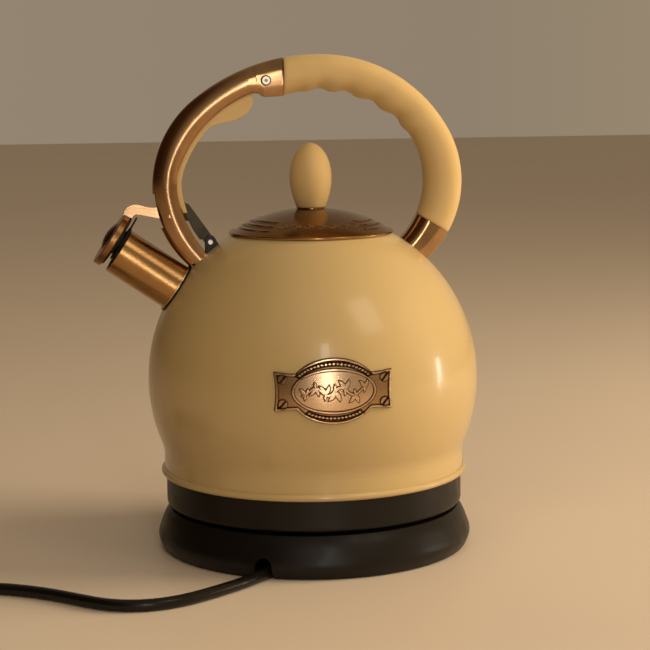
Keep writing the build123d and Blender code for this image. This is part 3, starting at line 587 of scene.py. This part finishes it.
def add_lid():
    around = 900
    rise = LID_TOP_Z - LID_RIM_Z
    dome_r = (LID_EDGE_R**2 + rise**2) / (2 * rise)
    centre = LID_TOP_Z - dome_r
    seat = LID_TOP_Z + 0.28
    inner = np.concatenate([
        [2.6, KNOB_BASE_R, KNOB_BASE_R + 0.1], np.linspace(KNOB_BASE_R + 0.5, 32.0, 12),
        np.linspace(32.4, 48.0, 66), [48.8, 49.6, 50.3, 50.8],
    ])
    profile = [(r, seat if r <= KNOB_BASE_R else centre + sqrt(dome_r**2 - r**2)) for r in inner]
    bead_steps = 15
    for k in range(bead_steps):
        angle = radians(62 - 17 * k)
        profile.append((LID_EDGE_R + LID_BEAD_R * cos(angle), LID_RIM_Z + LID_BEAD_R * sin(angle)))
    under = dome_r - LID_SHEET
    for r in np.linspace(50.2, 2.6, 14):
        profile.append((r, centre + sqrt(under**2 - r**2)))

    outline = np.array(profile)
    angles = np.linspace(0, 360, around, endpoint=False)
    radius = np.repeat(outline[:, 0], around)
    level = np.repeat(outline[:, 1], around)
    angle = np.tile(angles, len(outline))
    outside = np.repeat(np.arange(len(outline)) < len(inner), around)

    to_front = np.minimum(np.abs(angle - 270), np.abs(angle - 90))
    on_side = step_up(to_front, *LID_RIDGES_FROM)
    ridge = np.zeros(len(radius))
    for at in LID_RIDGES:
        ridge = np.maximum(ridge, 1 - step_up(np.abs(radius - at), 0.3, 1.5))
    ridge *= on_side * outside

    marks = lid_marks()
    marks_flat = on_circle(marks[:, 1], marks[:, 0])
    flat = on_circle(radius, angle)
    worth = outside & (radius > 35) & (radius < 46) & (to_front < 42)
    gap = np.full(len(radius), 9.0)
    found, k = nearest(flat[worth], marks_flat)
    gap[worth] = found - marks[k, 2]
    wave = 1 - step_up(gap, -0.5, 0.4)
    lift = 0.5 * ridge + 0.3 * wave
    lean = radius / dome_r
    out = radius + lift * lean
    way = np.radians(angle)
    points = np.stack([out * np.cos(way), out * np.sin(way), level + lift * np.sqrt(1 - lean**2)], 1)
    groove = np.zeros(len(radius))
    for at in LID_GROOVES:
        groove = np.maximum(groove, 1 - step_up(np.abs(radius - at), 0.4, 1.4))
    groove *= on_side * outside
    patina = np.maximum(0.45 * groove, 0.3 * np.where(gap > -0.1, 1 - step_up(gap, 0.0, 0.8), 0.0))
    row = np.arange(len(outline))
    bead = np.repeat((row >= len(inner)) & (row < len(inner) + bead_steps), around)
    polish = np.clip(0.35 * ridge + 0.45 * wave + 0.8 * bead, 0, 1)
    faces = grid_faces(len(outline), around)
    last = (len(outline) - 1) * around
    for column in range(around):
        after = (column + 1) % around
        faces.append((last + column, last + after, after, column))
    return add_mesh(
        "lid_dome", points.tolist(), faces, "lid", "dark_bronze", "lid_cover",
        values={"patina": patina, "polish": polish},
    )


def add_knob():
    """An egg on its narrow end."""
    around = 96
    seat = LID_TOP_Z + 0.28
    profile = [(0.01, seat), (KNOB_BASE_R - 0.5, seat), (KNOB_BASE_R - 0.1, seat + 0.15)]
    for share in np.linspace(0.02, 1.0, 24):
        swell = sin(pi / 2 * share) ** 0.9
        profile.append((KNOB_BASE_R + (KNOB_R - KNOB_BASE_R) * swell, seat + (KNOB_WIDEST_Z - seat) * share))
    above = KNOB_TOP_Z - KNOB_WIDEST_Z
    for turn in np.linspace(0.0, pi / 2, 30)[1:]:
        profile.append((KNOB_R * cos(turn) ** 1.06 + 0.01, KNOB_WIDEST_Z + above * sin(turn)))
    angles = np.linspace(0, 2 * pi, around, endpoint=False)
    points = [(radius * cos(a), radius * sin(a), z) for radius, z in profile for a in angles]
    last = (len(profile) - 1) * around
    faces = grid_faces(len(profile), around)
    faces += [tuple(range(around))[::-1], tuple(range(last, last + around))]
    return add_mesh("knob_egg", points, faces, "lid", "cream_grip", "lid_knob")


# ---------------------------------------------------------------- grip
def arc_points(start, heading, turns, step=0.4):
    """Points along tangent arcs that turn clockwise."""
    x, z = start
    way = radians(heading)
    points = [(x, z)]
    for radius, sweep in turns:
        cx, cz = x + radius * sin(way), z - radius * cos(way)
        count = max(2, int(radius * radians(sweep) / step))
        for k in range(1, count + 1):
            turned = way - radians(sweep) * k / count
            points.append((cx - radius * sin(turned), cz + radius * cos(turned)))
        way -= radians(sweep)
        x, z = points[-1]
    return np.array(points)


def spaced(points, count):
    """The same line with evenly spaced points."""
    steps = np.hypot(*np.diff(points, axis=0).T)
    run = np.concatenate([[0], np.cumsum(steps)])
    at = np.linspace(0, run[-1], count)
    return np.stack([np.interp(at, run, points[:, 0]), np.interp(at, run, points[:, 1])], 1)


def add_grip():
    outer = arc_points(HANDLE_START, HANDLE_HEADING, HANDLE_TURNS)
    inner = arc_points(GRIP_START, GRIP_HEADING, GRIP_TURNS)
    cut = radians(GRIP_REAR_HEADING)

    def before_cut(points):
        ahead = (points[:, 0] - GRIP_REAR[0]) * cos(cut) + (points[:, 1] - GRIP_REAR[1]) * sin(cut)
        return ahead < 0

    first = int(np.argmax(outer[:, 0] > GRIP_START[0]))
    outer = outer[first:]
    outer = outer[before_cut(outer) | (outer[:, 1] > 215)]
    inner = inner[before_cut(inner) | (inner[:, 1] > 225)]
    rows, around = 240, 72
    outer, inner = spaced(outer, rows), spaced(inner, rows)

    lean = np.degrees(np.arctan2(inner[:, 0] - GRIP_POLE[0], inner[:, 1] - GRIP_POLE[1]))
    strength = step_up(lean, -12.0, -4.0) * (1 - step_up(lean, 46.0, 54.0))
    push = GRIP_WAVE_DEPTH * np.cos(2 * pi * lean / GRIP_WAVE_STEP) * strength
    away = np.stack([np.sin(np.radians(lean)), np.cos(np.radians(lean))], 1)
    inner = inner + away * push[:, None]

    points = []
    for row in range(rows):
        middle = (outer[row] + inner[row]) / 2
        up = (outer[row] - inner[row]) / 2
        from_end = min(row, rows - 1 - row) / (rows - 1)
        tuck = 1 - 0.035 * (1 - min(1.0, from_end / 0.006)) ** 2
        for k in range(around):
            angle = 2 * pi * k / around
            across = np.sign(cos(angle)) * abs(cos(angle)) ** 0.86 * tuck
            height = np.sign(sin(angle)) * abs(sin(angle)) ** 0.90 * tuck
            spot = middle + up * height
            points.append((spot[0], across * GRIP_WIDTH / 2, spot[1]))
    faces = grid_faces(rows, around)
    faces.append(tuple(range(around)))
    faces.append(tuple(range((rows - 1) * around, rows * around))[::-1])
    return add_mesh("grip_cover", points, faces, "kettle", "cream_grip", "grip")


# ---------------------------------------------------------------- front channel
def channel_inner():
    """The channel's inner outline from the body up to the grip, with the collar's step."""
    arcs = arc_points(CHANNEL_INNER_START, CHANNEL_INNER_HEADING, CHANNEL_INNER_TURNS)
    down = radians(CHANNEL_INNER_HEADING)
    low = arcs[0] - np.array([cos(down), sin(down)]) * 5.0
    return np.concatenate([[low], arcs, COLLAR_STEP, [GRIP_START]])


def channel_section():
    """A round-backed U as a closed loop: (share of the depth, share of the half width)."""
    outside = [(0.60 * (1 - cos(pi / 2 * k / 14)), sin(pi / 2 * k / 14) ** 0.85) for k in range(15)]
    outside += [(0.60 + 0.40 * k / 6, 1 - 0.26 * (k / 6) ** 2) for k in range(1, 7)]
    inside = [(1.0, 0.60), (0.80, 0.72)]
    for k in range(8, -1, -1):
        turn = pi / 2 * k / 8
        inside.append((0.12 + 0.48 * (1 - cos(turn)), 0.78 * sin(turn) ** 0.85))
    near = outside + inside
    far = [(share, -width) for share, width in near[-2:0:-1]]
    return near + far


def sweep_loop(outer, inner, loop, half):
    """Rows of points: the loop stretched between two outlines."""
    points = []
    for top, bottom in zip(outer, inner):
        for share, width in loop:
            spot = top + (bottom - top) * share
            points.append((spot[0], width * half, spot[1]))
    return points


def cut_box(piece, low, high):
    """Take a box, in millimetres, out of a piece."""
    sides = zip(low, high)
    corners = [tuple(c * MM for c in corner) for corner in product(*sides)]
    faces = [(0, 1, 3, 2), (4, 6, 7, 5), (0, 4, 5, 1), (2, 3, 7, 6), (0, 2, 6, 4), (1, 5, 7, 3)]
    mesh = bpy.data.meshes.new("cutter")
    mesh.from_pydata(corners, [], faces)
    cutter = bpy.data.objects.new("cutter", mesh)
    bpy.context.scene.collection.objects.link(cutter)
    cut = piece.modifiers.new("window", "BOOLEAN")
    cut.operation = "DIFFERENCE"
    cut.object = cutter
    cut.solver = "EXACT"
    result = bpy.data.meshes.new_from_object(piece.evaluated_get(bpy.context.evaluated_depsgraph_get()))
    piece.modifiers.clear()
    piece.data = result
    bpy.data.objects.remove(cutter)


def add_channel():
    """The metal front of the handle, open towards the hand, closed where it becomes the grip's collar."""
    outer = arc_points(HANDLE_START, HANDLE_HEADING, HANDLE_TURNS)
    outer = outer[:int(np.argmax(outer[:, 0] > HANDLE_SPLIT_X))]
    down = radians(HANDLE_HEADING)
    low = outer[0] - np.array([cos(down), sin(down)]) * 3.0
    outer = np.concatenate([[low], outer, [(HANDLE_SPLIT_X, CHANNEL_END_Z)]])
    rows = 260
    outer, inner = spaced(outer, rows), spaced(channel_inner(), rows)
    loop = channel_section()
    points = sweep_loop(outer, inner, loop, CHANNEL_HALF)
    faces = grid_faces(rows, len(loop))
    last = (rows - 1) * len(loop)
    faces += [tuple(range(len(loop))), tuple(range(last, last + len(loop)))[::-1]]

    collar = int(np.argmax(inner[:, 0] > COLLAR_STEP[0][0] - 0.5))
    ring = []
    for k in range(COLLAR_STEPS):
        turn = 2 * pi * k / COLLAR_STEPS
        ring.append((0.5 - 0.5 * cos(turn), np.sign(sin(turn)) * abs(sin(turn)) ** 0.85))
    more = sweep_loop(outer[collar:], inner[collar:], ring, CHANNEL_HALF * 1.01)
    start, count = len(points), len(outer) - collar
    end = start + (count - 1) * COLLAR_STEPS
    faces += [tuple(start + n for n in face) for face in grid_faces(count, COLLAR_STEPS)]
    faces += [tuple(range(start, start + COLLAR_STEPS)), tuple(range(end, end + COLLAR_STEPS))[::-1]]
    piece = add_mesh("front_channel", points + more, faces, "kettle", "bronze", "handle_channel")
    cut_box(piece, ARM_WINDOW[0], ARM_WINDOW[1])
    return piece


# ---------------------------------------------------------------- stage and light
def add_area(name, place, aim, size, power, colour, shape_y=None, mirrored=True):
    """An area light; mirrored = False keeps it out of reflections."""
    data = bpy.data.lights.new(name, "AREA")
    data.energy = power
    data.color = colour
    data.size = size
    if shape_y:
        data.shape = "RECTANGLE"
        data.size_y = shape_y
    light = bpy.data.objects.new(name, data)
    bpy.context.scene.collection.objects.link(light)
    light.location = place
    light.visible_glossy = mirrored
    way = Vector(aim) - Vector(place)
    light.rotation_euler = way.to_track_quat("-Z", "Y").to_euler()


def add_stage():
    reach = 6.0
    mesh = bpy.data.meshes.new("floor")
    corners = [(-reach, -reach, 0), (reach, -reach, 0), (reach, reach, 0), (-reach, reach, 0)]
    mesh.from_pydata(corners, [], [(0, 1, 2, 3)])
    floor = bpy.data.objects.new("floor", mesh)
    bpy.context.scene.collection.objects.link(floor)
    look = Look("pale_floor", (0.68, 0.57, 0.46), 0.45)
    look.blend_colour(look.remap(look.noise(3.0, 4.0), 0.3, 0.7, 0.0, 0.3), (0.62, 0.51, 0.40))
    mesh.materials.append(look.material)

    world = bpy.data.worlds.new("studio")
    bpy.context.scene.world = world
    world.use_nodes = True
    tree = world.node_tree
    way = tree.nodes.new("ShaderNodeTexCoord")
    split = tree.nodes.new("ShaderNodeSeparateXYZ")
    ramp = tree.nodes.new("ShaderNodeValToRGB")
    across = tree.nodes.new("ShaderNodeMapRange")
    across.inputs["From Min"].default_value = -1.0
    tree.links.new(way.outputs["Generated"], split.inputs[0])
    tree.links.new(split.outputs["X"], across.inputs["Value"])
    tree.links.new(across.outputs["Result"], ramp.inputs["Fac"])
    ramp.color_ramp.elements[0].color = (0.06, 0.026, 0.009, 1.0)
    ramp.color_ramp.elements[1].color = (1.0, 0.70, 0.38, 1.0)
    stops = {0.25: (0.13, 0.065, 0.028), 0.40: (0.55, 0.44, 0.31), 0.60: (0.50, 0.40, 0.28)}
    for share, colour in stops.items():
        ramp.color_ramp.elements.new(share).color = (*colour, 1.0)
    tree.links.new(ramp.outputs["Color"], tree.nodes["Background"].inputs["Color"])
    tree.nodes["Background"].inputs["Strength"].default_value = 0.55
    bpy.context.scene.view_settings.view_transform = "Standard"
    middle = (0, 0, 0.13)
    add_area("key", (1.5, -0.15, 0.75), middle, 0.9, 30.0, (1.0, 0.82, 0.58), 1.0, mirrored=False)
    add_area("sky", (-0.4, -1.2, 1.5), middle, 1.4, 7.0, (1.0, 0.84, 0.62), mirrored=False)
    add_area("window", (1.45, -0.07, 0.13), middle, 0.09, 1.3, (1.0, 0.95, 0.86), 0.30)
    add_area("strip", (0.05, -1.35, 0.35), middle, 0.13, 2.8, (1.0, 0.93, 0.84), 1.0)
    add_area("softbox", (0.85, -0.95, 1.35), middle, 0.50, 2.2, (1.0, 0.90, 0.76), 0.7)


# ---------------------------------------------------------------- put it together
def dress(material, *names):
    for name in names:
        mesh = NODES[name].data
        mesh.materials.clear()
        mesh.materials.append(material)


def dress_piece(piece, material):
    piece.data.materials.clear()
    piece.data.materials.append(material)


def main():
    add_camera()
    cord = add_cord()
    add_stage()

    cream = enamel()
    grip_look = soft_touch()
    copper_dark = (0.10, 0.045, 0.018)
    spout_bronze = bronze("spout_bronze", (0.46, 0.26, 0.10), copper_dark, round_spout)
    handle_bronze = bronze("handle_bronze", (0.45, 0.27, 0.135), copper_dark, along_handle, 0.18)
    arm_bronze = bronze("arm_bronze", (0.68, 0.44, 0.25), (0.45, 0.26, 0.13), round_axis, 0.24, 0.02)
    cap_bronze = bronze("cap_bronze", (0.30, 0.15, 0.06), copper_dark, round_spout, 0.30)
    dome_bronze = bronze("dome_bronze", (0.15, 0.07, 0.03), copper_dark, round_spout, 0.26)
    brass = plain_metal("bright_brass", (0.68, 0.46, 0.20), 0.24)
    steel = plain_metal("plain_steel", (0.52, 0.50, 0.47), 0.30)
    # painted shade: the trigger lever's steel is made near-black to stand for the shade inside the channel
    # that hides it
    shade_dark_lever_steel = plain_metal("shade_dark_lever_steel", (0.055, 0.050, 0.036), 0.42)
    matte_black = black_plastic("matte_black", 0.38, 1400.0)
    gloss_black = black_plastic("gloss_black", 0.22, 900.0)
    cord_black = black_plastic("cord_black", 0.26, 900.0)
    rubber_black = black_plastic("rubber_black", 0.60, 1200.0)
    silicone = black_plastic("grey_silicone", 0.5, 900.0, (0.42, 0.41, 0.39))
    plate_bronze = relief_bronze(
        "plate_bronze", (0.80, 0.55, 0.34), (0.50, 0.31, 0.16), (0.020, 0.010, 0.005), 0.26, round_axis,
    )
    lid_bronze = relief_bronze(
        "lid_bronze", (0.50, 0.30, 0.12), (0.26, 0.13, 0.045), (0.04, 0.016, 0.006), 0.20, round_axis,
    )

    dress(cream, "body_shell", "body_bead_ring")
    dress(spout_bronze, "spout_tube")
    dress(brass, "spout_flange", "whistle_body", "plug_pins")
    dress(rubber_black, "spout_gasket", "cap_seal", "base_foot_ring", "cord_strain_relief")
    dress(
        steel, "neck_ring", "spout_filter", "lid_pan", "lid_skirt", "knob_screw", "handle_bolts", "link_pin",
        "trigger_pin", "return_spring", "housing_screws", "heating_plate",
        "heating_element", "steam_tube", "switch_pin", "base_screws",
    )
    dress(screw_look(), "handle_screw")
    dress(shade_dark_lever_steel, "trigger_lever")
    dress(grip_look, "trigger_pad")
    dress(handle_bronze, "cap_pin")
    dress(bronze("ferrule_bronze", (0.56, 0.34, 0.17), copper_dark, along_handle, 0.13), "rear_ferrule")
    dress(arm_bronze, "cap_arm")
    dress(cap_bronze, "cap_disc")
    dress(dome_bronze, "cap_dome")
    dress(
        matte_black, "grip_core", "handle_foot_block", "trigger_bracket", "bottom_housing",
        "thermostat_control", "kettle_connector", "switch_bracket", "base_cover", "base_bottom_plate",
        "base_connector", "connector_guard_ring", "cord_tie", "plug_body",
    )
    dress(gloss_black, "switch_lever")
    dress(silicone, "lid_seal", "plate_seal")
    dress(brass, "base_contacts")
    dress(lens_look(), "indicator_lens")

    dress_piece(cord, cord_black)
    dress_piece(add_nameplate(), plate_bronze)
    dress_piece(add_lid(), lid_bronze)
    dress_piece(add_knob(), grip_look)
    dress_piece(add_grip(), grip_look)
    dress_piece(add_channel(), handle_bronze)


main()
bpy.context.view_layer.update()
